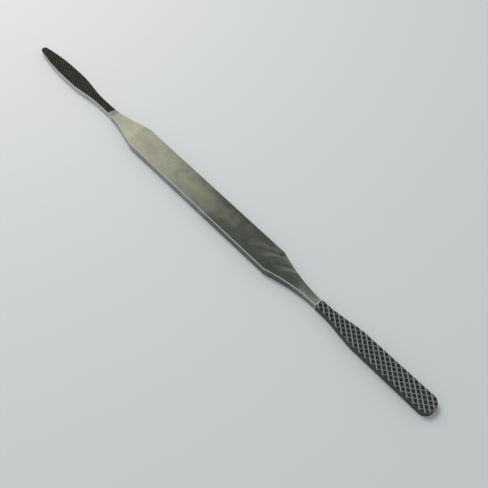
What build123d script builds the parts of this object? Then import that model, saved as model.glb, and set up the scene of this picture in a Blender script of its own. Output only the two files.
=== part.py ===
# A double-ended hand file: a flat handle bar whose two necks each carry a brazed-in file blade.
# It lies on its flat underside. X runs from the fine file to the coarse rasp, Y across and Z up.
# The origin is under the middle of the overall length, in the plane of the underside.
from build123d import *
from math import ceil, hypot, radians, sin, tan
import os

os.makedirs("parts", exist_ok=True)

# Handle bar
HANDLE_LENGTH = 62.4          # parallel part, shoulder to shoulder
HANDLE_WIDTH = 8.7
HANDLE_THICKNESS = 3.1
THINNING_START = 2.0          # past each shoulder, where the necks start to thin
ARRIS = 0.15                  # chamfer along every long edge of the handle and its necks

# Neck that carries the fine file
FINE_NECK_LENGTH = 12.9       # shoulder to joint
FINE_NECK_THICKNESS = 2.6     # at the joint
FINE_WAIST_WIDTH = 2.54       # narrowest place, which lies on the blade
FINE_WAIST_FROM = 4.3         # from the joint out to where the waist starts
FINE_WAIST_TO = 7.8           # from the joint out to where the waist ends
FINE_SWEEP = 5.1              # the neck's curve begins and ends this far from its knee

# Neck that carries the coarse rasp
COARSE_NECK_LENGTH = 18.4     # shoulder to joint
COARSE_NECK_THICKNESS = 2.55  # at the joint
COARSE_NECK_WIDTH = 2.56      # at the joint
COARSE_SWEEP = 7.8            # the neck's curve begins and ends this far from its knee

# Fine file: a lancet blade, whose blunt tip is relieved underneath
FINE_LENGTH = 39.6            # root to tip
FINE_WIDTH = 5.04             # across the belly
FINE_BELLY_FROM = 20.5        # from the root to where full width starts
FINE_BELLY_TO = 24.5          # from the root to where full width ends
FINE_TIP_WIDTH = 1.9          # across the blunt tip, before its corners are rounded
FINE_TIP_HEIGHT = 2.35        # from the underside's plane up to the upper face, at the tip
FINE_TIP_THICKNESS = 0.7
FINE_RELIEF_LENGTH = 4.2      # from the tip back to where its underside starts to rise
FINE_TIP_RADIUS = 0.7
FINE_LAND = 1.65              # plain root that carries no teeth
FINE_PITCH = 0.82             # from groove to groove, square to them
FINE_CUT_ANGLE = 45.0         # between a groove and the blade's length
FINE_GROOVE_WIDTH = 0.28
FINE_GROOVE_DEPTH = 0.14

# Coarse rasp: a parallel blade with a rounded end
COARSE_LENGTH = 44.0          # root to end
COARSE_ROOT_WIDTH = 2.8
COARSE_ROOT_LENGTH = 2.7      # parallel root, before the blade swells
COARSE_SWELL = 14.0           # length over which it swells to its body width
COARSE_BODY_WIDTH = 5.68      # where the swell ends
COARSE_END_WIDTH = 6.1        # at the far end, before its corners are rounded
COARSE_THICKNESS = 2.7
COARSE_END_RADIUS = 2.6
COARSE_PITCH = 1.37
COARSE_CUT_ANGLE = 38.0
COARSE_GROOVE_WIDTH = 0.36
COARSE_GROOVE_DEPTH = 0.2

# Tangs, their sockets and the braze that fills both joints
TANG_WIDTH = 1.2
TANG_THICKNESS = 1.2
TANG_LENGTH = 8.0
SOCKET_CLEARANCE = 0.1        # braze film on every side of a tang and at its end
BRAZE_GAP = 0.3               # braze between a neck and the root of its blade

# Places along the tool, counted from the fine tip and then centred on the overall length
TOTAL_LENGTH = (FINE_LENGTH + FINE_NECK_LENGTH + HANDLE_LENGTH + COARSE_NECK_LENGTH
                + COARSE_LENGTH + 2 * BRAZE_GAP)
FINE_TIP_X = -TOTAL_LENGTH / 2
FINE_ROOT_X = FINE_TIP_X + FINE_LENGTH
FINE_JOINT_X = FINE_ROOT_X + BRAZE_GAP
FINE_SHOULDER_X = FINE_JOINT_X + FINE_NECK_LENGTH
COARSE_SHOULDER_X = FINE_SHOULDER_X + HANDLE_LENGTH
COARSE_JOINT_X = COARSE_SHOULDER_X + COARSE_NECK_LENGTH
COARSE_ROOT_X = COARSE_JOINT_X + BRAZE_GAP
COARSE_END_X = COARSE_ROOT_X + COARSE_LENGTH
FINE_TANG_Z = FINE_NECK_THICKNESS / 2
COARSE_TANG_Z = COARSE_NECK_THICKNESS / 2
CLEAR = 2 * HANDLE_WIDTH      # more than any width or thickness, for shapes that cut right through


def plan_solid(upper_edges):
    """Solid through the whole thickness, from the outline's +Y side; lines close both its ends."""
    lower_edges = [edge.mirror(Plane.XZ) for edge in upper_edges]
    points = [vertex for edge in upper_edges for vertex in edge.vertices()]
    points.sort(key=lambda vertex: vertex.X)
    ends = [Line((point.X, point.Y), (point.X, -point.Y)) for point in (points[0], points[-1])]
    face = make_face([*upper_edges, *lower_edges, *ends])
    return extrude(face, amount=CLEAR, both=True)


def side_solid(points):
    """Solid across the whole width, from the (x, z) corners of a side view."""
    face = Plane.XZ * make_face(Polyline(*points, close=True))
    return extrude(face, amount=CLEAR, both=True)


def slab(x_one, x_other):
    """Block that covers everything between two places along the tool."""
    block = Box(abs(x_other - x_one), 2 * CLEAR, 4 * CLEAR)
    return Pos((x_one + x_other) / 2, 0, 0) * block


def neck_edges(shoulder_x, end_x, end_half, sweep):
    """Straight flank from the shoulder, then one arc that comes out parallel to the axis."""
    way = 1 if end_x > shoulder_x else -1
    flank_run = abs(end_x - shoulder_x) - sweep
    flank_drop = HANDLE_WIDTH / 2 - end_half
    flank = hypot(flank_run, flank_drop)
    shoulder = (shoulder_x, HANDLE_WIDTH / 2)
    arc_x = shoulder_x + way * flank_run * (1 - sweep / flank)
    arc_y = end_half + flank_drop * sweep / flank
    direction = (way * flank_run, -flank_drop)
    return [
        Line(shoulder, (arc_x, arc_y)),
        TangentArc((arc_x, arc_y), (end_x, end_half), tangent=direction),
    ]


def swell_edge(x_one, half_one, x_other, half_other, end_slope=0.0):
    """Smooth S-shaped edge that leaves the first place parallel to the axis."""
    way = 1 if x_other > x_one else -1
    return Spline((x_one, half_one), (x_other, half_other),
                  tangents=[(way, 0), (way, way * end_slope)])


def fine_half():
    """Plan of the neck and the lancet blade beyond it, which share one flowing outline."""
    waist_half = FINE_WAIST_WIDTH / 2
    waist_from_x = FINE_JOINT_X - FINE_WAIST_FROM
    waist_to_x = FINE_JOINT_X - FINE_WAIST_TO
    belly_half = FINE_WIDTH / 2
    belly_from_x = FINE_ROOT_X - FINE_BELLY_FROM
    belly_to_x = FINE_ROOT_X - FINE_BELLY_TO
    tip = (FINE_TIP_X, FINE_TIP_WIDTH / 2)
    solid = plan_solid([
        *neck_edges(FINE_SHOULDER_X, waist_from_x, waist_half, FINE_SWEEP),
        Line((waist_from_x, waist_half), (waist_to_x, waist_half)),
        swell_edge(waist_to_x, waist_half, belly_from_x, belly_half),
        Line((belly_from_x, belly_half), (belly_to_x, belly_half)),
        TangentArc((belly_to_x, belly_half), tip, tangent=(-1, 0)),
    ])
    tip_corners = solid.edges().filter_by(Axis.Z).group_by(Axis.X)[0]
    return fillet(tip_corners, FINE_TIP_RADIUS)


def tang_socket(joint_x, inward, middle_z):
    """Hole in the end of a neck, from the joint towards the handle."""
    depth = TANG_LENGTH + SOCKET_CLEARANCE
    width = TANG_WIDTH + 2 * SOCKET_CLEARANCE
    height = TANG_THICKNESS + 2 * SOCKET_CLEARANCE
    return Pos(joint_x + inward * depth / 2, 0, middle_z) * Box(depth, width, height)


def tang(root_x, inward, middle_z):
    """Square-sided tang that runs from a blade's root into its socket."""
    length = BRAZE_GAP + TANG_LENGTH
    block = Box(length, TANG_WIDTH, TANG_THICKNESS)
    return Pos(root_x + inward * length / 2, 0, middle_z) * block


def groove(place, heading, run, width, depth):
    """V-shaped prism, point down, that crosses the X axis at one place at an angle of heading."""
    lift = depth
    half = width / 2 * (depth + lift) / depth
    vee = make_face(Polyline((-half, lift), (half, lift), (0, -depth), close=True))
    prism = extrude(Plane.XZ * vee, amount=run / 2, both=True)
    return Pos(place, 0, 0) * Rot(0, 0, heading - 90) * prism


def cross_cut(face_plane, length, width, pitch, angle, groove_width, depth):
    """Two crossing sets of grooves over a face that starts at its plane's origin and runs along X."""
    step = pitch / sin(radians(angle))
    reach = width / 2 / tan(radians(angle))
    count = ceil((length + 2 * reach) / step)
    run = 1.5 * width / sin(radians(angle))
    prisms = []
    for index in range(count):
        place = -reach + (index + 0.5) * step
        for heading in (angle, -angle):
            prisms.append(face_plane * groove(place, heading, run, groove_width, depth))
    return prisms


def blade_faces(start_x, outward, start_thickness, slope):
    """Planes of a blade's upper and lower face, with X outwards along it and Z out of the metal."""
    upper = Plane(origin=(start_x, 0, start_thickness),
                  x_dir=(outward, 0, -slope), z_dir=(outward * slope, 0, 1))
    lower = Plane(origin=(start_x, 0, 0), x_dir=(outward, 0, 0), z_dir=(0, 0, -1))
    return upper, lower


def end_section(blank, outward):
    """Flat end of a neck, where its joint is."""
    return blank.faces().sort_by(Axis.X)[-1 if outward > 0 else 0]


def handle_blank():
    """Parallel bar whose ends narrow and thin into two necks, with every long edge chamfered."""
    bar = slab(FINE_SHOULDER_X, COARSE_SHOULDER_X) & Box(TOTAL_LENGTH, HANDLE_WIDTH, 4 * CLEAR)
    fine_neck = fine_half() & slab(FINE_JOINT_X, FINE_SHOULDER_X)
    coarse_neck = plan_solid(neck_edges(COARSE_SHOULDER_X, COARSE_JOINT_X,
                                        COARSE_NECK_WIDTH / 2, COARSE_SWEEP))
    side = side_solid([
        (FINE_JOINT_X, 0),
        (FINE_JOINT_X, FINE_NECK_THICKNESS),
        (FINE_SHOULDER_X - THINNING_START, HANDLE_THICKNESS),
        (COARSE_SHOULDER_X + THINNING_START, HANDLE_THICKNESS),
        (COARSE_JOINT_X, COARSE_NECK_THICKNESS),
        (COARSE_JOINT_X, 0),
    ])
    blank = (bar + fine_neck + coarse_neck) & side
    level_edges = blank.edges().filter_by(Axis.Z, reverse=True)
    long_edges = [edge for edge in level_edges if abs(edge.center().Y) > ARRIS]
    return chamfer(long_edges, ARRIS)


def fine_blade():
    """Lancet blade with its plain root and tang, and fine cross-cut teeth on both faces."""
    cut_x = FINE_ROOT_X - FINE_LAND
    slope = (FINE_NECK_THICKNESS - FINE_TIP_HEIGHT) / FINE_LENGTH
    cut_thickness = FINE_NECK_THICKNESS - slope * FINE_LAND
    side = side_solid([
        (FINE_ROOT_X, 0),
        (FINE_ROOT_X, FINE_NECK_THICKNESS),
        (FINE_TIP_X, FINE_TIP_HEIGHT),
        (FINE_TIP_X, FINE_TIP_HEIGHT - FINE_TIP_THICKNESS),
        (FINE_TIP_X + FINE_RELIEF_LENGTH, 0),
    ])
    blank = fine_half() & side
    toothed = blank & slab(FINE_TIP_X, cut_x)
    for face_plane in blade_faces(cut_x, -1, cut_thickness, slope):
        toothed -= cross_cut(face_plane, cut_x - FINE_TIP_X, FINE_WIDTH, FINE_PITCH,
                             FINE_CUT_ANGLE, FINE_GROOVE_WIDTH, FINE_GROOVE_DEPTH)
    return toothed + (blank & slab(cut_x, FINE_ROOT_X)) + tang(FINE_ROOT_X, 1, FINE_TANG_Z)


def coarse_blade():
    """Round-ended blade with its tang, and coarse diamond teeth on both faces from root to end."""
    swell_x = COARSE_ROOT_X + COARSE_ROOT_LENGTH
    body_x = swell_x + COARSE_SWELL
    root_half = COARSE_ROOT_WIDTH / 2
    body_half = COARSE_BODY_WIDTH / 2
    end_half = COARSE_END_WIDTH / 2
    flare = (end_half - body_half) / (COARSE_END_X - body_x)
    plan = plan_solid([
        Line((COARSE_ROOT_X, root_half), (swell_x, root_half)),
        swell_edge(swell_x, root_half, body_x, body_half, flare),
        Line((body_x, body_half), (COARSE_END_X, end_half)),
    ])
    plan = fillet(plan.edges().filter_by(Axis.Z).group_by(Axis.X)[-1], COARSE_END_RADIUS)
    blade = plan & side_solid([
        (COARSE_ROOT_X, 0),
        (COARSE_ROOT_X, COARSE_THICKNESS),
        (COARSE_END_X, COARSE_THICKNESS),
        (COARSE_END_X, 0),
    ])
    for face_plane in blade_faces(COARSE_ROOT_X, 1, COARSE_THICKNESS, 0):
        blade -= cross_cut(face_plane, COARSE_LENGTH, COARSE_END_WIDTH, COARSE_PITCH,
                           COARSE_CUT_ANGLE, COARSE_GROOVE_WIDTH, COARSE_GROOVE_DEPTH)
    return blade + tang(COARSE_ROOT_X, -1, COARSE_TANG_Z)


def braze(section, joint_x, inward, middle_z):
    """Braze between a neck's end and a blade's root, and as a film round the tang."""
    seam = extrude(section, amount=BRAZE_GAP)
    root_x = joint_x - inward * BRAZE_GAP
    return seam + tang_socket(joint_x, inward, middle_z) - tang(root_x, inward, middle_z)


blank = handle_blank()
fine_socket = tang_socket(FINE_JOINT_X, 1, FINE_TANG_Z)
coarse_socket = tang_socket(COARSE_JOINT_X, -1, COARSE_TANG_Z)
pieces = {
    "handle_bar": blank - fine_socket - coarse_socket,
    "fine_file": fine_blade(),
    "coarse_rasp": coarse_blade(),
    "fine_joint_braze": braze(end_section(blank, -1), FINE_JOINT_X, 1, FINE_TANG_Z),
    "coarse_joint_braze": braze(end_section(blank, 1), COARSE_JOINT_X, -1, COARSE_TANG_Z),
}
for name, piece in pieces.items():
    export_step(piece, f"parts/{name}.step")
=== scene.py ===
# The looks of a double-ended hand file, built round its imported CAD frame. Lengths are in metres.
from math import atan2, cos, hypot, pi, radians, sin, sqrt, tan

import bmesh
import bpy
from mathutils import Matrix, Vector


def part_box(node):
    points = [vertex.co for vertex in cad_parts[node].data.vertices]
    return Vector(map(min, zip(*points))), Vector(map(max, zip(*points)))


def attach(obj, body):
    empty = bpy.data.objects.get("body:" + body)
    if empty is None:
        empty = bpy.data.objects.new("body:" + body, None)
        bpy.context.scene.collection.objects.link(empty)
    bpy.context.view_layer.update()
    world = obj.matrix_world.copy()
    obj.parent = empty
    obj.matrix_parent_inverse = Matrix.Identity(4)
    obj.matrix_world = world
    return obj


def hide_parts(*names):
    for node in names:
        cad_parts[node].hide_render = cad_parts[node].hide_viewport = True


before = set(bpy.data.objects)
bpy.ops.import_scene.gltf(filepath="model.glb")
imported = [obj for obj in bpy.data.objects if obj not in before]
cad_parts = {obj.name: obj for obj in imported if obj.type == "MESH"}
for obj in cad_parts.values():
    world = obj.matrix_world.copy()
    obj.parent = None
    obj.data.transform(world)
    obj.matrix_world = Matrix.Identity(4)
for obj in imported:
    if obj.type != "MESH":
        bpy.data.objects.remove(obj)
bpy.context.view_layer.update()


# ---- Camera -------------------------------------------------------------------------------------
# The camera looks down at the tool from the side of the coarse rasp's near edge, so that the tool
# runs from the upper left to the lower right, and it is rolled a little.
camera_azimuth = radians(44.78)
camera_elevation = radians(57.63)
camera_roll = radians(3.0)
camera_distance = 0.27229
camera_target = Vector((0.01473, -0.00142, 0.0))
camera_lens = 66.39      # millimetres, on a sensor 36 mm wide

camera_side = Vector((cos(camera_azimuth), sin(camera_azimuth), 0.0))
camera_away = Vector((-sin(camera_azimuth), cos(camera_azimuth), 0.0))
camera_view = camera_away * cos(camera_elevation) - Vector((0, 0, 1)) * sin(camera_elevation)
camera_up = camera_away * sin(camera_elevation) + Vector((0, 0, 1)) * cos(camera_elevation)
rolled_side = camera_side * cos(camera_roll) + camera_up * sin(camera_roll)
rolled_up = camera_up * cos(camera_roll) - camera_side * sin(camera_roll)

camera = bpy.data.objects.new("camera", bpy.data.cameras.new("camera"))
bpy.context.scene.collection.objects.link(camera)
camera.data.lens = camera_lens
camera.data.sensor_width = 36.0
camera.data.clip_start = 0.01
camera.data.clip_end = 20.0
camera_axes = Matrix((rolled_side, rolled_up, -camera_view)).transposed()
camera_place = Matrix.Translation(camera_target - camera_view * camera_distance)
camera.matrix_world = camera_place @ camera_axes.to_4x4()
bpy.context.scene.camera = camera


# ---- Handle bar ---------------------------------------------------------------------------------
# A flat bar of satin-ground steel. It is drawn down to a neck at each end, in plan and in
# thickness, and every long edge is broken by a small rounded chamfer. Its underside is one flat.
handle_low, handle_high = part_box("handle_bar")
bar_half_width = (handle_high.y - handle_low.y) / 2
bar_thickness = handle_high.z
fine_neck_length = 0.0129
coarse_neck_length = 0.0184
thinning_start = 0.002          # past each shoulder
fine_neck_thickness = 0.0026    # at its joint
coarse_neck_thickness = 0.00255
fine_waist_half_width = 0.00127
fine_waist_past_joint = 0.0043
coarse_neck_half_width = 0.00128
fine_sweep = 0.0051             # where the neck's curve begins and ends, from its knee
coarse_sweep = 0.0078
arris = 0.00015
arris_roundness = 0.45          # 0 is a flat chamfer and 1 a quarter circle
fine_shoulder_x = handle_low.x + fine_neck_length
coarse_shoulder_x = handle_high.x - coarse_neck_length


def neck_half_width(past_shoulder, length, end_half, sweep):
    """Half width of a neck: a straight flank from the shoulder, then one arc that ends parallel."""
    drop = bar_half_width - end_half
    knee = length - sweep
    flank = hypot(knee, drop)
    flank_end = knee * (1 - sweep / flank)
    if past_shoulder <= flank_end:
        return bar_half_width - drop * past_shoulder / knee
    if past_shoulder >= length:
        return end_half
    radius = sweep / tan(atan2(drop, knee) / 2)
    return end_half + radius - sqrt(radius ** 2 - (length - past_shoulder) ** 2)


def handle_half_width(x):
    if x < fine_shoulder_x:
        return neck_half_width(fine_shoulder_x - x, fine_neck_length + fine_waist_past_joint,
                               fine_waist_half_width, fine_sweep)
    if x > coarse_shoulder_x:
        return neck_half_width(x - coarse_shoulder_x, coarse_neck_length,
                               coarse_neck_half_width, coarse_sweep)
    return bar_half_width


def between(x, start, stop, first, last):
    """Value that goes evenly from first at start to last at stop, and no further."""
    share = min(max((x - start) / (stop - start), 0.0), 1.0)
    return first + (last - first) * share


def handle_top(x):
    if x < 0:
        return between(x, handle_low.x, fine_shoulder_x - thinning_start,
                       fine_neck_thickness, bar_thickness)
    return between(x, coarse_shoulder_x + thinning_start, handle_high.x,
                   bar_thickness, coarse_neck_thickness)


def evenly(start, stop, count):
    return [start + (stop - start) * i / count for i in range(count + 1)]


def bar_section(half_width, bottom, top, edge, corner_steps=4):
    """Points (y, z) round one cross section of a bar, anticlockwise seen from the coarse end."""
    quarter = []
    for share in evenly(0.0, 1.0, corner_steps):
        angle = share * pi / 2
        y_inset = edge * (arris_roundness * (1 - cos(angle)) + (1 - arris_roundness) * share)
        z_inset = edge * (arris_roundness * (1 - sin(angle)) + (1 - arris_roundness) * (1 - share))
        quarter.append((y_inset, z_inset))
    middle = (bottom + top) / 2
    half = (top - bottom) / 2
    points = []
    for side_y, side_z in ((1, 1), (-1, 1), (-1, -1), (1, -1)):
        corner = quarter if side_y * side_z > 0 else reversed(quarter)
        points += [(side_y * (half_width - y), middle + side_z * (half - z)) for y, z in corner]
    return points


def loft(name, sections, smooth_below):
    """Closed skin over cross sections (x, points); edges sharper than smooth_below stay crisp."""
    shape = bmesh.new()
    rings = []
    for x, points in sections:
        rings.append([shape.verts.new((x, y, z)) for y, z in points])
    for ring, after in zip(rings, rings[1:]):
        for i in range(len(ring)):
            j = (i + 1) % len(ring)
            shape.faces.new((ring[i], ring[j], after[j], after[i]))
    shape.faces.new(rings[0])
    shape.faces.new(rings[-1])
    bmesh.ops.recalc_face_normals(shape, faces=shape.faces)
    mesh = bpy.data.meshes.new(name)
    shape.to_mesh(mesh)
    shape.free()
    for face in mesh.polygons:
        face.use_smooth = True
    mesh.set_sharp_from_angle(angle=smooth_below)
    piece = bpy.data.objects.new(name, mesh)
    bpy.context.scene.collection.objects.link(piece)
    return piece


handle_stations = [
    *evenly(handle_low.x, fine_shoulder_x, 40)[:-1],
    *evenly(fine_shoulder_x, coarse_shoulder_x, 60),
    *evenly(coarse_shoulder_x, handle_high.x, 50)[1:],
]
handle = loft(
    "handle",
    [(x, bar_section(handle_half_width(x), 0.0, handle_top(x), arris)) for x in handle_stations],
    smooth_below=radians(12),
)


class Nodes:
    """A node tree under construction: adds nodes, sets their inputs and joins them."""

    def __init__(self, tree):
        self.tree = tree

    def add(self, kind, inputs=(), **settings):
        node = self.tree.nodes.new(kind)
        for key, value in settings.items():
            setattr(node, key, value)
        for key, value in dict(inputs).items():
            if isinstance(value, bpy.types.NodeSocket):
                self.tree.links.new(value, node.inputs[key])
            else:
                node.inputs[key].default_value = value
        return node

    def math(self, operation, *values):
        node = self.add("ShaderNodeMath", dict(enumerate(values)), operation=operation)
        return node.outputs[0]

    def ramp(self, value, low, high, to_low=0.0, to_high=1.0):
        """Smooth change from to_low to to_high while value goes from low to high."""
        node = self.add("ShaderNodeMapRange", {
            "Value": value, "From Min": low, "From Max": high, "To Min": to_low, "To Max": to_high,
        }, interpolation_type="SMOOTHSTEP")
        return node.outputs["Result"]

    def stretched(self, place, scale):
        """Object coordinates scaled along each axis."""
        node = self.add("ShaderNodeMapping", {"Vector": place, "Scale": scale})
        return node.outputs["Vector"]

    def noise(self, place, scale, detail=3.0, roughness=0.5):
        node = self.add("ShaderNodeTexNoise", {
            "Vector": place, "Scale": scale, "Detail": detail, "Roughness": roughness,
        })
        return node.outputs["Fac"]

    def mixed(self, share, first, second):
        """Colour between first and second."""
        node = self.add("ShaderNodeMix", data_type="RGBA")
        for index, value in ((0, share), (6, first), (7, second)):
            if isinstance(value, bpy.types.NodeSocket):
                self.tree.links.new(value, node.inputs[index])
            else:
                node.inputs[index].default_value = value
        return node.outputs[2]

    def join(self, output, node, socket):
        self.tree.links.new(output, node.inputs[socket])

    def axes(self, vector):
        return self.add("ShaderNodeSeparateXYZ", {0: vector}).outputs

    def upright(self):
        """How squarely the surface faces up or down: 1 on a flat top, 0 on a wall."""
        normal = self.add("ShaderNodeTexCoord").outputs["Normal"]
        return self.math("ABSOLUTE", self.axes(normal)["Z"])


def metal(name):
    """New metallic material; returns it with its node tree, shader and object coordinates."""
    material = bpy.data.materials.new(name)
    material.use_nodes = True
    nodes = Nodes(material.node_tree)
    shader = material.node_tree.nodes["Principled BSDF"]
    shader.inputs["Metallic"].default_value = 1.0
    place = nodes.add("ShaderNodeTexCoord").outputs["Object"]
    return material, nodes, shader, place


grey_neck_x = -0.050            # the fine neck is greyer than the bar, as far as grey_neck_end_x
grey_neck_end_x = -0.040
tarnish_start_x = -0.025
tarnish_full_x = 0.023
tarnish_fade_x = 0.031
tarnish_gone_x = 0.050
tarnish_drift = 0.014           # how far the tarnish's cloudy edge strays along the bar
tarnish_slant = 0.9             # its edge lies askew across the bar
tarnish_bow = 2.5               # and reaches further along the two long edges
fade_drift = 0.2                # share of the drift where the tarnish ends, at the coarse neck
wheel_radius = 0.0075           # of the arcs that a polishing wheel has left
wheel_y = -0.005
wheel_wobble = 0.0007
wheel_fade_y = -0.0022          # the arcs fade out towards the near edge
wheel_full_y = 0.0010
wheel_arcs = (                  # place along the bar, half width and strength of each arc
    (0.0240, 0.0026, 0.5), (0.0289, 0.0022, 1.0),
    (0.0318, 0.0014, 0.5), (0.0357, 0.0024, 0.9),
)
grain_depth = 0.00002


def satin_steel():
    """Ground steel, tarnished over the coarse half, with a polishing wheel's arcs in the tarnish; the
    walls carry painted shade and the arrises a painted highlight.
    """
    material, nodes, shader, place = metal("satin_steel")
    x, y, _ = nodes.axes(place)
    clouds = nodes.noise(nodes.stretched(place, (0.8, 1.0, 1.0)), 190.0, 4.0, 0.6)
    grain = nodes.noise(nodes.stretched(place, (0.02, 1.0, 1.0)), 9000.0, 2.0)
    drift = nodes.ramp(clouds, 0.25, 0.75, -tarnish_drift, tarnish_drift)
    along = nodes.math("ADD", nodes.math("ADD", x, drift), nodes.math("MULTIPLY", y, tarnish_slant))
    off_axis = nodes.math("ABSOLUTE", y)
    from_edges = nodes.math("ADD", along, nodes.math("MULTIPLY", off_axis, tarnish_bow))
    fading = nodes.math("ADD", x, nodes.math("MULTIPLY", drift, fade_drift))
    tarnish = nodes.math("MULTIPLY", nodes.ramp(from_edges, tarnish_start_x, tarnish_full_x),
                         nodes.ramp(fading, tarnish_fade_x, tarnish_gone_x, 1.0, 0.0))
    # the wheel steps along the bar, and each arc is told by where its centre lies
    off_centre = nodes.math("SUBTRACT", y, wheel_y)
    squared = nodes.math("SUBTRACT", wheel_radius ** 2, nodes.math("MULTIPLY", off_centre, off_centre))
    wobble = nodes.ramp(nodes.noise(place, 420.0, 2.0), 0.3, 0.7, -wheel_wobble, wheel_wobble)
    centre_x = nodes.math("ADD", nodes.math("ADD", x, wobble),
                          nodes.math("SQRT", nodes.math("MAXIMUM", squared, 0.0)))
    marks = nodes.ramp(nodes.noise(place, 260.0, 2.0), 0.45, 0.75, 0.0, 0.2)
    for arc_x, arc_half, strength in wheel_arcs:
        aside = nodes.math("ABSOLUTE", nodes.math("SUBTRACT", centre_x, arc_x))
        marks = nodes.math("MAXIMUM", marks, nodes.ramp(aside, 0.0, arc_half, strength, 0.0))
    marks = nodes.math("MULTIPLY", marks, nodes.ramp(y, wheel_fade_y, wheel_full_y))
    clean = nodes.mixed(nodes.ramp(clouds, 0.35, 0.65), (0.58, 0.58, 0.50, 1), (0.68, 0.68, 0.60, 1))
    clean = nodes.mixed(nodes.ramp(x, grey_neck_x, grey_neck_end_x), (0.50, 0.53, 0.50, 1), clean)
    dull = nodes.mixed(marks, (0.165, 0.18, 0.158, 1), (0.38, 0.40, 0.36, 1))
    # painted shade and highlight: the side walls are painted darker than the top as shade, and take
    # the tarnish as well; the chamfered arrises are painted bright as a highlight that the tarnish
    # doesn't reach
    upright = nodes.upright()
    wall = nodes.mixed(tarnish, (0.31, 0.32, 0.31, 1), (0.13, 0.14, 0.135, 1))
    colour = nodes.mixed(nodes.ramp(upright, 0.15, 0.45), wall, (0.66, 0.67, 0.65, 1))
    colour = nodes.mixed(nodes.ramp(upright, 0.85, 0.98), colour, nodes.mixed(tarnish, clean, dull))
    nodes.join(colour, shader, "Base Color")
    rough = nodes.math("ADD", nodes.ramp(clouds, 0.3, 0.7, 0.22, 0.28),
                       nodes.ramp(grain, 0.3, 0.7, 0.0, 0.04))
    nodes.join(rough, shader, "Roughness")
    bump = nodes.add("ShaderNodeBump", {
        "Strength": 0.12, "Distance": grain_depth, "Height": grain,
    })
    nodes.join(bump.outputs["Normal"], shader, "Normal")
    return material


handle.data.materials.append(satin_steel())
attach(handle, "root")
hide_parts("handle_bar")


# ---- Coarse rasp --------------------------------------------------------------------------------
# A round-ended blade of hardened steel. Two crossing sets of V-grooves are cut into both faces, which
# leaves rows of diamond teeth, and it is brazed into its neck by a tang.
rasp_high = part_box("coarse_rasp")[1]
rasp_root_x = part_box("coarse_joint_braze")[1].x
rasp_thickness = rasp_high.z
rasp_root_half_width = 0.0014
rasp_root_length = 0.0027
rasp_swell = 0.014
rasp_body_half_width = 0.00284
rasp_end_half_width = 0.00305
rasp_end_radius = 0.0026
blade_arris = 0.00006           # the long edges of both blades are left almost sharp


def swelled(share):
    """Smooth rise from 0 to 1."""
    return share * share * (3 - 2 * share)


def rasp_half_width(x):
    past_root = x - rasp_root_x - rasp_root_length
    if past_root <= 0:
        return rasp_root_half_width
    if past_root < rasp_swell:
        rise = rasp_body_half_width - rasp_root_half_width
        return rasp_root_half_width + rise * swelled(past_root / rasp_swell)
    body_x = rasp_root_x + rasp_root_length + rasp_swell
    share = (x - body_x) / (rasp_high.x - body_x)
    half = rasp_body_half_width + (rasp_end_half_width - rasp_body_half_width) * share
    into_corner = rasp_end_radius - (rasp_high.x - x)
    if into_corner > 0:
        half -= rasp_end_radius - sqrt(max(rasp_end_radius ** 2 - into_corner ** 2, 0.0))
    return half


def blade_section(half_width, bottom, top):
    return bar_section(half_width, bottom, top, blade_arris, corner_steps=1)


rasp_end_steps = [rasp_high.x - rasp_end_radius * (1 - sin(angle)) for angle in evenly(0, pi / 2, 10)]
rasp_stations = [
    *evenly(rasp_root_x, rasp_root_x + rasp_root_length, 3)[:-1],
    *evenly(rasp_root_x + rasp_root_length, rasp_root_x + rasp_root_length + rasp_swell, 24)[:-1],
    *evenly(rasp_root_x + rasp_root_length + rasp_swell, rasp_high.x - rasp_end_radius, 12)[:-1],
    *rasp_end_steps,
]
rasp_blank = loft(
    "rasp_blank",
    [(x, blade_section(rasp_half_width(x), 0.0, rasp_thickness)) for x in rasp_stations],
    smooth_below=radians(30),
)


shoulder_drop = 0.12            # shares of the groove's depth and of its half width
groove_bottom = 0.08


def groove_cutter(name, half_width, shoulder, depth, length):
    """Long prism whose section is a V with rolled shoulders, point down, centred on the origin."""
    section = [
        (half_width + shoulder, depth), (half_width + shoulder, shoulder_drop * depth),
        (half_width, -shoulder_drop * depth), (groove_bottom * half_width, -depth),
    ]
    outline = section + [(-y, z) for y, z in reversed(section)]
    shape = bmesh.new()
    ends = [[shape.verts.new((x, y, z)) for y, z in outline] for x in (-length / 2, length / 2)]
    for i in range(len(outline)):
        j = (i + 1) % len(outline)
        shape.faces.new((ends[0][i], ends[0][j], ends[1][j], ends[1][i]))
    shape.faces.new(ends[0])
    shape.faces.new(ends[1])
    bmesh.ops.recalc_face_normals(shape, faces=shape.faces)
    mesh = bpy.data.meshes.new(name)
    shape.to_mesh(mesh)
    shape.free()
    cutter = bpy.data.objects.new(name, mesh)
    bpy.context.scene.collection.objects.link(cutter)
    return cutter


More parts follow.
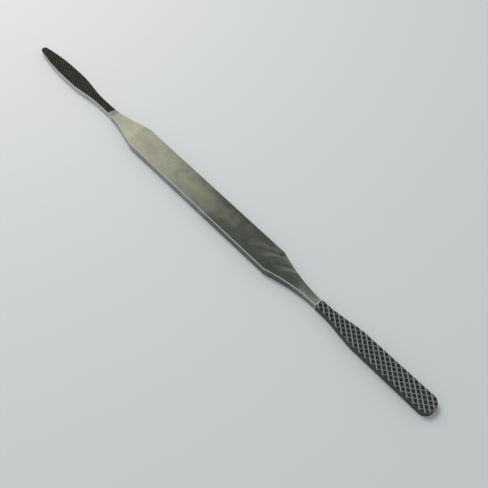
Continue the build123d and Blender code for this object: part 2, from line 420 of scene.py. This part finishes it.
def cross_cut_tree():
    """Geometry Nodes: cuts two crossing sets of grooves into both faces of a blade blank."""
    tree = bpy.data.node_groups.new("cross_cut", "GeometryNodeTree")
    sockets = (
        ("Blank", "NodeSocketGeometry", None), ("First Groove", "NodeSocketObject", None),
        ("Second Groove", "NodeSocketObject", None), ("Cut Zone", "NodeSocketObject", None),
        ("Start", "NodeSocketFloat", 0.0), ("First Set Shift", "NodeSocketFloat", 0.0),
        ("Step", "NodeSocketFloat", 0.002), ("Count", "NodeSocketInt", 10),
        ("Cut Angle", "NodeSocketFloat", 0.7), ("Face Height", "NodeSocketFloat", 0.001),
        ("Face Tilt", "NodeSocketFloat", 0.0),
        ("Wander", "NodeSocketFloat", 0.0), ("Depth Wander", "NodeSocketFloat", 0.0),
        ("Seed", "NodeSocketInt", 0), ("Material", "NodeSocketMaterial", None),
    )
    for name, kind, value in sockets:
        socket = tree.interface.new_socket(name, in_out="INPUT", socket_type=kind)
        if value is not None:
            socket.default_value = value
    tree.interface.new_socket("Blade", in_out="OUTPUT", socket_type="NodeSocketGeometry")
    nodes = Nodes(tree)
    given = nodes.add("NodeGroupInput").outputs

    def vector(x=0.0, y=0.0, z=0.0):
        return nodes.add("ShaderNodeCombineXYZ", {0: x, 1: y, 2: z}).outputs[0]

    def one_set(groove, turn, shift_along, seed_offset):
        """One set of parallel grooves along the X axis, in the face's own plane."""
        start = nodes.math("ADD", given["Start"], shift_along)
        line = nodes.add("GeometryNodeMeshLine", {
            "Count": given["Count"], "Start Location": vector(start),
            "Offset": vector(given["Step"]),
        }, mode="OFFSET")
        seed = nodes.math("ADD", given["Seed"], seed_offset)
        shift = nodes.add("FunctionNodeRandomValue", {
            "Min": vector(nodes.math("MULTIPLY", given["Wander"], -1.0), 0.0,
                          nodes.math("MULTIPLY", given["Depth Wander"], -1.0)),
            "Max": vector(given["Wander"], 0.0, given["Depth Wander"]), "Seed": seed,
        }, data_type="FLOAT_VECTOR")
        moved = nodes.add("GeometryNodeSetPosition", {
            "Geometry": line.outputs["Mesh"], "Offset": shift.outputs["Value"],
        })
        info = nodes.add("GeometryNodeObjectInfo", {"Object": groove, "As Instance": True})
        placed = nodes.add("GeometryNodeInstanceOnPoints", {
            "Points": moved.outputs["Geometry"], "Instance": info.outputs["Geometry"],
            "Rotation": vector(0.0, 0.0, turn),
        })
        return placed.outputs["Instances"]

    def cut_from(blade, groove, turn, shift_along, seed_offset):
        """Cuts one set into the upper face and its like, turned over, into the underside."""
        upper = nodes.add("GeometryNodeTransform", {
            "Geometry": one_set(groove, turn, shift_along, seed_offset),
            "Translation": vector(0.0, 0.0, given["Face Height"]),
            "Rotation": vector(0.0, given["Face Tilt"], 0.0),
        })
        lower = nodes.add("GeometryNodeTransform", {
            "Geometry": one_set(groove, turn, shift_along, seed_offset + 1),
            "Rotation": (pi, 0.0, 0.0),
        })
        both = nodes.add("GeometryNodeJoinGeometry")
        tree.links.new(upper.outputs[0], both.inputs[0])
        tree.links.new(lower.outputs[0], both.inputs[0])
        cutters = nodes.add("GeometryNodeRealizeInstances", {"Geometry": both.outputs[0]})
        zone = nodes.add("GeometryNodeObjectInfo", {"Object": given["Cut Zone"]})
        trimmed = nodes.add("GeometryNodeMeshBoolean", operation="INTERSECT", solver="MANIFOLD")
        tree.links.new(cutters.outputs[0], trimmed.inputs["Mesh 2"])
        tree.links.new(zone.outputs["Geometry"], trimmed.inputs["Mesh 2"])
        cut = nodes.add("GeometryNodeMeshBoolean", operation="DIFFERENCE", solver="MANIFOLD")
        tree.links.new(blade, cut.inputs["Mesh 1"])
        tree.links.new(trimmed.outputs["Mesh"], cut.inputs["Mesh 2"])
        return cut.outputs["Mesh"]

    once = cut_from(given["Blank"], given["First Groove"], given["Cut Angle"],
                    given["First Set Shift"], 0)
    twice = cut_from(once, given["Second Groove"],
                     nodes.math("MULTIPLY", given["Cut Angle"], -1.0), 0.0, 2)
    whole = nodes.add("GeometryNodeRealizeInstances", {"Geometry": twice})
    finished = nodes.add("GeometryNodeSetMaterial", {
        "Geometry": whole.outputs[0], "Material": given["Material"],
    })
    result = nodes.add("NodeGroupOutput")
    tree.links.new(finished.outputs[0], result.inputs[0])
    return tree


cross_cut = cross_cut_tree()


def cut_zone(name, start_x, stop_x, slant=0.0):
    """Block round the part of a blade that carries teeth; slant leans its start across the blade."""
    reach = bar_half_width
    shape = bmesh.new()
    corners = []
    for y in (-reach, reach):
        for z in (-reach, reach):
            lean = slant * y
            corners.append((shape.verts.new((start_x + lean, y, z)), shape.verts.new((stop_x, y, z))))
    for one, other in ((0, 1), (1, 3), (3, 2), (2, 0)):
        shape.faces.new((corners[one][0], corners[one][1], corners[other][1], corners[other][0]))
    for end in (0, 1):
        shape.faces.new([corners[i][end] for i in (0, 1, 3, 2)])
    bmesh.ops.recalc_face_normals(shape, faces=shape.faces)
    mesh = bpy.data.meshes.new(name)
    shape.to_mesh(mesh)
    shape.free()
    zone = bpy.data.objects.new(name, mesh)
    bpy.context.scene.collection.objects.link(zone)
    return zone


def cut_teeth(name, blank, **values):
    """Blade made from a blank by the cross-cut tree, as a plain mesh."""
    modifier = blank.modifiers.new("cross_cut", "NODES")
    modifier.node_group = cross_cut
    for item in cross_cut.interface.items_tree:
        key = item.name.lower().replace(" ", "_")
        if item.in_out == "INPUT" and key in values:
            modifier[item.identifier] = values[key]
    mesh = bpy.data.meshes.new_from_object(blank.evaluated_get(bpy.context.evaluated_depsgraph_get()))
    mesh.name = name
    for leftover in (blank, values["first_groove"], values["second_groove"], values["cut_zone"]):
        bpy.data.objects.remove(leftover)
    mesh.materials.clear()
    mesh.materials.append(values["material"])
    for face in mesh.polygons:
        face.use_smooth = True
        face.material_index = 0
    mesh.set_sharp_from_angle(angle=radians(20))
    blade = bpy.data.objects.new(name, mesh)
    bpy.context.scene.collection.objects.link(blade)
    return blade


cut_face_roughness = 0.34
cut_end_blur = 0.0002           # width of the change from teeth to plain root
ground_line_shade = 0.8         # of the grinding lines on the sides


def toothed_steel(name, tops, groove_painted_dim, groove_painted_bright, side, side_roughness, land=None, cut_end=None):
    """Hardened steel: dark tooth tops, ground sides and root, and lighter groove walls.

    The two crossing sets of grooves are painted in two tones: a painted highlight on the set whose
    walls catch the light, and painted shade on the other.
    """
    material, nodes, shader, place = metal(name)
    normal = nodes.axes(nodes.add("ShaderNodeTexCoord").outputs["Normal"])
    upright = nodes.math("ABSOLUTE", normal["Z"])
    patches = nodes.noise(place, 700.0, 4.0, 0.6)
    top_colour = nodes.mixed(nodes.ramp(patches, 0.35, 0.65), *tops)
    # painted highlight and shade: the walls of one groove set are painted brighter than those of the
    # other, by which way they face
    skew = nodes.math("MULTIPLY", nodes.math("MULTIPLY", normal["X"], normal["Y"]), normal["Z"])
    groove = nodes.mixed(nodes.ramp(skew, -0.03, 0.03), groove_painted_dim, groove_painted_bright)
    # the blade's broken long edges slope straight out to the sides, as no groove does
    in_groove = nodes.ramp(nodes.math("ABSOLUTE", normal["X"]), 0.15, 0.30)
    sloped = nodes.mixed(in_groove, top_colour, groove)
    face_colour = nodes.mixed(nodes.ramp(upright, 0.85, 0.97), sloped, top_colour)
    lines = nodes.noise(nodes.stretched(place, (0.03, 1.0, 1.0)), 2600.0, 2.0)
    shaded = tuple(ground_line_shade * channel for channel in side)
    ground = nodes.mixed(nodes.ramp(lines, 0.35, 0.65), side, shaded)
    on_face = nodes.ramp(upright, 0.15, 0.45)
    if cut_end is not None:
        x, y, _ = nodes.axes(place)
        past_end = nodes.math("SUBTRACT", x, nodes.math("MULTIPLY", y, cut_end[1]))
        bare = nodes.ramp(past_end, cut_end[0], cut_end[0] + cut_end_blur)
        face_colour = nodes.mixed(bare, face_colour, land)
    nodes.join(nodes.mixed(on_face, ground, face_colour), shader, "Base Color")
    fine = nodes.noise(place, 9000.0, 2.0)
    spread = nodes.math("ADD", nodes.ramp(on_face, 0.0, 1.0, side_roughness, cut_face_roughness),
                        nodes.ramp(fine, 0.3, 0.7, -0.03, 0.05))
    nodes.join(spread, shader, "Roughness")
    bump = nodes.add("ShaderNodeBump", {
        "Strength": 0.15, "Distance": grain_depth, "Height": fine,
    })
    nodes.join(bump.outputs["Normal"], shader, "Normal")
    return material


coarse_pitch = 0.00137
coarse_cut_angle = radians(38)
coarse_step = coarse_pitch / sin(coarse_cut_angle)
rasp_reach = rasp_end_half_width / tan(coarse_cut_angle)
coarse_groove_length = 4 * rasp_end_half_width / sin(coarse_cut_angle)
rasp = cut_teeth(
    "rasp", rasp_blank,
    first_groove=groove_cutter("shallow_groove", half_width=0.00015, shoulder=0.00002,
                               depth=0.00017, length=coarse_groove_length),
    second_groove=groove_cutter("deep_groove", half_width=0.00015, shoulder=0.00002,
                                depth=0.00020, length=coarse_groove_length),
    cut_zone=cut_zone("rasp_cut_zone", rasp_root_x - coarse_step, rasp_high.x + coarse_step),
    start=rasp_root_x - rasp_reach + coarse_step / 2, step=coarse_step, first_set_shift=0.00075,
    count=int((rasp_high.x - rasp_root_x + 2 * rasp_reach) / coarse_step) + 1,
    cut_angle=coarse_cut_angle, face_height=rasp_thickness, face_tilt=0.0,
    wander=0.00003, depth_wander=0.000015, seed=7,
    material=toothed_steel(
        "dark_rasp_steel", tops=((0.035, 0.037, 0.04, 1), (0.06, 0.062, 0.062, 1)),
        # the two groove tones: painted shade on the first set, a painted highlight on the second
        groove_painted_dim=(0.42, 0.43, 0.44, 1), groove_painted_bright=(0.68, 0.70, 0.71, 1),
        side=(0.055, 0.06, 0.06, 1), side_roughness=0.34,
    ),
)
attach(rasp, "root")
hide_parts("coarse_rasp")


# ---- Fine file ----------------------------------------------------------------------------------
# A lancet blade of hardened steel with a plain ground root and sides. Two crossing sets of fine
# grooves run from the root to the blunt tip, which is relieved underneath. A tang holds it too.
fine_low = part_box("fine_file")[0]
fine_root_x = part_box("fine_joint_braze")[0].x
fine_width = 0.00504
fine_waist_end = 0.0075         # from the root out to where the waist ends
fine_belly_from = 0.0205        # from the root out to where full width starts
fine_belly_to = 0.0245
fine_tip_half_width = 0.00095
fine_tip_radius = 0.0007
fine_root_height = 0.0026
fine_tip_height = 0.00235
fine_tip_thickness = 0.0007
fine_relief_length = 0.0042
fine_cut_end_x = fine_root_x - 0.00165
fine_cut_slant = 0.3            # the cut ends nearer the root on the far side


def fine_half_width(x):
    past_root = fine_root_x - x
    belly = fine_width / 2
    if past_root < fine_waist_end:
        return handle_half_width(x)
    if past_root < fine_belly_from:
        share = (past_root - fine_waist_end) / (fine_belly_from - fine_waist_end)
        return fine_waist_half_width + (belly - fine_waist_half_width) * swelled(share)
    if past_root < fine_belly_to:
        return belly
    run = fine_root_x - fine_belly_to - fine_low.x
    drop = belly - fine_tip_half_width
    radius = (run ** 2 + drop ** 2) / (2 * drop)
    half = belly - radius + sqrt(radius ** 2 - (past_root - fine_belly_to) ** 2)
    into_corner = fine_tip_radius - (x - fine_low.x)
    if into_corner > 0:
        half -= fine_tip_radius - sqrt(max(fine_tip_radius ** 2 - into_corner ** 2, 0.0))
    return half


def fine_section(x):
    top = between(x, fine_low.x, fine_root_x, fine_tip_height, fine_root_height)
    bottom = between(x, fine_low.x, fine_low.x + fine_relief_length,
                     fine_tip_height - fine_tip_thickness, 0.0)
    return blade_section(fine_half_width(x), bottom, top)


fine_tip_steps = [fine_low.x + fine_tip_radius * (1 - cos(angle)) for angle in evenly(0, pi / 2, 8)]
fine_stations = [
    *fine_tip_steps,
    *evenly(fine_low.x + fine_tip_radius, fine_low.x + fine_relief_length, 8)[1:],
    *evenly(fine_low.x + fine_relief_length, fine_root_x - fine_belly_to, 16)[1:],
    *evenly(fine_root_x - fine_belly_from, fine_root_x - fine_waist_end, 20),
    *evenly(fine_root_x - fine_waist_end, fine_root_x, 12)[1:],
]
fine_blank = loft("fine_blank", [(x, fine_section(x)) for x in fine_stations],
                  smooth_below=radians(30))
fine_pitch = 0.00082
fine_cut_angle = radians(45)
fine_step = fine_pitch / sin(fine_cut_angle)
fine_slope = (fine_root_height - fine_tip_height) / (fine_root_x - fine_low.x)
fine_groove_length = 2 * fine_width / sin(fine_cut_angle)
fine_file = cut_teeth(
    "fine_file_blade", fine_blank,
    first_groove=groove_cutter("fine_first_groove", half_width=0.00010, shoulder=0.00002,
                               depth=0.00011, length=fine_groove_length),
    second_groove=groove_cutter("fine_second_groove", half_width=0.00012, shoulder=0.00002,
                                depth=0.00014, length=fine_groove_length),
    cut_zone=cut_zone("fine_cut_zone", fine_cut_end_x, fine_low.x - fine_step, fine_cut_slant),
    start=fine_low.x - fine_width / 2, step=fine_step,
    count=int((fine_root_x - fine_low.x + fine_width) / fine_step),
    cut_angle=fine_cut_angle, face_height=fine_root_height - fine_slope * fine_root_x,
    face_tilt=-fine_slope, wander=0.00003, depth_wander=0.00001, seed=11,
    material=toothed_steel(
        "fine_file_steel", tops=((0.016, 0.018, 0.016, 1), (0.036, 0.038, 0.032, 1)),
        # the two groove tones: painted shade on the first set, a painted highlight on the second
        groove_painted_dim=(0.11, 0.115, 0.10, 1), groove_painted_bright=(0.27, 0.28, 0.24, 1),
        side=(0.60, 0.61, 0.58, 1), side_roughness=0.42,
        land=(0.40, 0.43, 0.40, 1), cut_end=(fine_cut_end_x, fine_cut_slant),
    ),
)
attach(fine_file, "root")
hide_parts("fine_file")


# ---- Braze seams --------------------------------------------------------------------------------
# Thin beads of bright brazing metal, each between the end of a neck and the root of its blade. The
# metal runs in round the tang as well, where it can't be seen.
bead_hollow = 0.00005           # how far a bead falls back at its two edges


def braze_bead(name, low_x, high_x, half_width, height, material):
    """Ring-like bead that is proudest half way between the two pieces which it joins."""
    stations = []
    for share in evenly(0.0, 1.0, 6):
        inset = bead_hollow * (2 * share - 1) ** 2
        section = bar_section(half_width - inset, inset, height - inset, arris - inset)
        stations.append((low_x + (high_x - low_x) * share, section))
    bead = loft(name, stations, smooth_below=radians(35))
    bead.data.materials.append(material)
    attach(bead, "root")
    return bead


def brazing_metal(name, bright, dull):
    """Cleaned-up brazing metal, cloudy where flux has stained it."""
    material, nodes, shader, place = metal(name)
    stain = nodes.ramp(nodes.noise(place, 1800.0, 4.0, 0.6), 0.38, 0.66)
    nodes.join(nodes.mixed(stain, bright, dull), shader, "Base Color")
    nodes.join(nodes.ramp(stain, 0.0, 1.0, 0.32, 0.48), shader, "Roughness")
    return material


fine_bead = braze_bead("fine_braze", fine_root_x, handle_low.x, handle_half_width(handle_low.x),
                       fine_neck_thickness,
                       brazing_metal("fine_braze_metal", bright=(0.55, 0.54, 0.46, 1),
                                     dull=(0.38, 0.37, 0.31, 1)))
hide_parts("fine_joint_braze")
# painted highlight: this bead's braze metal is painted near white, far brighter than the fine bead's,
# for the bright line along its top
rasp_bead = braze_bead("rasp_braze", handle_high.x, rasp_root_x, coarse_neck_half_width,
                       coarse_neck_thickness,
                       brazing_metal("rasp_braze_metal", bright=(0.94, 0.93, 0.87, 1),
                                     dull=(0.80, 0.78, 0.70, 1)))
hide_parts("coarse_joint_braze")


# ---- Floor and light ----------------------------------------------------------------------------
# A plain pale table top in a pale room, which is brightest low down. The room has a warm patch
# beyond the fine end, a small dark one that the handle mirrors, and a wide dark one on the near side.
floor_half_size = 6.0
floor_height = -0.00005         # a hair below the tool, so that the two never share a plane
floor_corners = [(x * floor_half_size, y * floor_half_size, floor_height)
                 for x, y in ((-1, -1), (1, -1), (1, 1), (-1, 1))]
floor_mesh = bpy.data.meshes.new("floor")
floor_mesh.from_pydata(floor_corners, [], [(0, 1, 2, 3)])
floor = bpy.data.objects.new("floor", floor_mesh)
bpy.context.scene.collection.objects.link(floor)
floor_paint = bpy.data.materials.new("floor_paint")
floor_paint.use_nodes = True
floor_shader = floor_paint.node_tree.nodes["Principled BSDF"]
floor_shader.inputs["Base Color"].default_value = (0.470, 0.4925, 0.505, 1)
floor_shader.inputs["Roughness"].default_value = 0.7
floor.data.materials.append(floor_paint)

room = bpy.data.worlds.new("room")
bpy.context.scene.world = room
room.use_nodes = True
room_nodes = Nodes(room.node_tree)
look = room_nodes.add("ShaderNodeTexCoord").outputs["Generated"]
look_up = room_nodes.axes(look)["Z"]


def heading(azimuth, elevation):
    """Unit vector towards a place in the room, from degrees round from +X and up from level."""
    a, e = radians(azimuth), radians(elevation)
    return (cos(a) * cos(e), sin(a) * cos(e), sin(e))


room_colour = room_nodes.mixed(room_nodes.ramp(look_up, 0.1, 0.95), (0.86, 0.87, 0.86, 1),
                               (0.60, 0.62, 0.62, 1))
# azimuth, elevation, radius of the even middle, radius of the soft edge, strength, colour
room_patches = (
    (150, 47, 4, 24, 0.9, (0.80, 0.78, 0.62, 1)),
    (132, 59, 3, 15, 0.9, (0.12, 0.13, 0.125, 1)),
    (-64, 30, 12, 27, 1.0, (0.07, 0.075, 0.075, 1)),
)
for azimuth, elevation, inner, outer, strength, colour in room_patches:
    towards = room_nodes.add("ShaderNodeVectorMath", {0: look, 1: heading(azimuth, elevation)},
                             operation="DOT_PRODUCT").outputs["Value"]
    share = room_nodes.ramp(towards, cos(radians(outer)), cos(radians(inner)), 0.0, strength)
    room_colour = room_nodes.mixed(share, room_colour, colour)
room_nodes.join(room_colour, room.node_tree.nodes["Background"], "Color")


def soft_light(name, place, size, power, colour, aim=(0.0, 0.0, 0.0)):
    """Square lamp that lights the table but doesn't mirror in the steel."""
    lamp = bpy.data.lights.new(name, "AREA")
    lamp.size = size
    lamp.energy = power
    lamp.color = colour
    holder = bpy.data.objects.new(name, lamp)
    bpy.context.scene.collection.objects.link(holder)
    holder.location = place
    holder.rotation_euler = (Vector(aim) - Vector(place)).to_track_quat("-Z", "Y").to_euler()
    holder.visible_glossy = False
    return holder


soft_light("window_light", (-0.32, 0.0, 0.65), size=0.30, power=3.35, colour=(0.98, 0.99, 1.0))
soft_light("corner_light", (-0.165, 0.01, 0.16), size=0.10, power=0.13,
           colour=(1.0, 0.82, 0.66), aim=(-0.165, 0.01, 0.0))
bpy.context.scene.view_settings.view_transform = "Standard"
